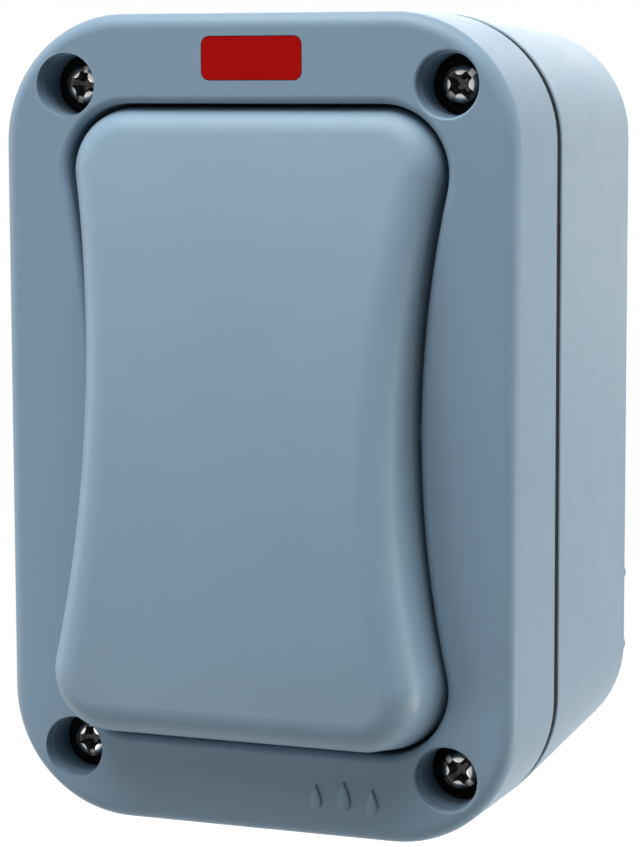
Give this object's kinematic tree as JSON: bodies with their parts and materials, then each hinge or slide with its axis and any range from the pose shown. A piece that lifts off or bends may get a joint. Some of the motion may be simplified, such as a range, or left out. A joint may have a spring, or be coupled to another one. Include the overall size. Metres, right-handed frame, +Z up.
{
  "type": "outdoor weatherproof switch",
  "caption": "Surface-mounted weatherproof rocker switch: drafted back box, sealed front cover with recessed screws, hourglass rocker and red indicator lens.",
  "frame": {"origin": "centre of the back face, on the wall", "axes": "+X to the right seen from the front, +Y into the wall, +Z up"},
  "size_m": [0.08, 0.0787, 0.12],
  "materials": {
    "housing_plastic": "fine satin moulded blue-grey plastic",
    "rocker_plastic": "fine satin moulded blue-grey plastic",
    "seal_rubber": "matt black rubber",
    "lens_red": "glossy red lens",
    "screw_steel": "plain steel",
    "terminal_brass": "plain brass",
    "module_black": "black moulded plastic",
    "module_white": "white moulded plastic",
    "lamp_glass": "clear glass",
    "lead_sleeve": "insulated lead",
    "spring_steel": "spring wire"
  },
  "bodies": {
    "enclosure": {"rear_box": "housing_plastic", "cover_gasket": "seal_rubber", "front_cover": "housing_plastic", "rocker_seal": "seal_rubber", "switch_frame": "module_black", "switch_housing": "module_black", "line_supply_terminal": "terminal_brass", "line_load_terminal": "terminal_brass", "neutral_supply_terminal": "terminal_brass", "neutral_load_terminal": "terminal_brass", "terminal_screws": "screw_steel", "module_screws": "screw_steel", "cover_screws": "screw_steel", "screw_inserts": "terminal_brass", "indicator_lens": "lens_red", "indicator_lamp": "lamp_glass", "lamp_holder": "module_white", "lamp_leads": "lead_sleeve", "earth_terminal": "terminal_brass", "earth_screw": "screw_steel"},
    "rocker": {"rocker": "rocker_plastic"},
    "dolly": {"switch_dolly": "module_white", "contact_plungers": "module_white", "plunger_springs": "spring_steel"},
    "line_bar": {"line_contact": "terminal_brass"},
    "neutral_bar": {"neutral_contact": "terminal_brass"}
  },
  "joints": [
    {"name": "rocker_tilt", "type": "hinge", "parent": "enclosure", "child": "rocker", "pos_m": [0, -0.062, 0], "axis": [1, 0, 0], "range_deg": [0, 14], "deforming": ["rocker_seal"]},
    {"name": "dolly_tilt", "type": "hinge", "parent": "enclosure", "child": "dolly", "pos_m": [0, -0.044, 0], "axis": [1, 0, 0], "range_deg": [0, 14]},
    {"name": "line_bar_rock", "type": "hinge", "parent": "enclosure", "child": "line_bar", "pos_m": [-0.0075, -0.0308, 0], "axis": [1, 0, 0], "range_deg": [-12, 0]},
    {"name": "neutral_bar_rock", "type": "hinge", "parent": "enclosure", "child": "neutral_bar", "pos_m": [0.0075, -0.0308, 0], "axis": [1, 0, 0], "range_deg": [-12, 0]}
  ],
  "couplings": [
    {"joint": "dolly_tilt", "follows": "rocker_tilt", "ratio": 1},
    {"joint": "line_bar_rock", "follows": "rocker_tilt", "ratio": -0.85714},
    {"joint": "neutral_bar_rock", "follows": "rocker_tilt", "ratio": -0.85714}
  ]
}
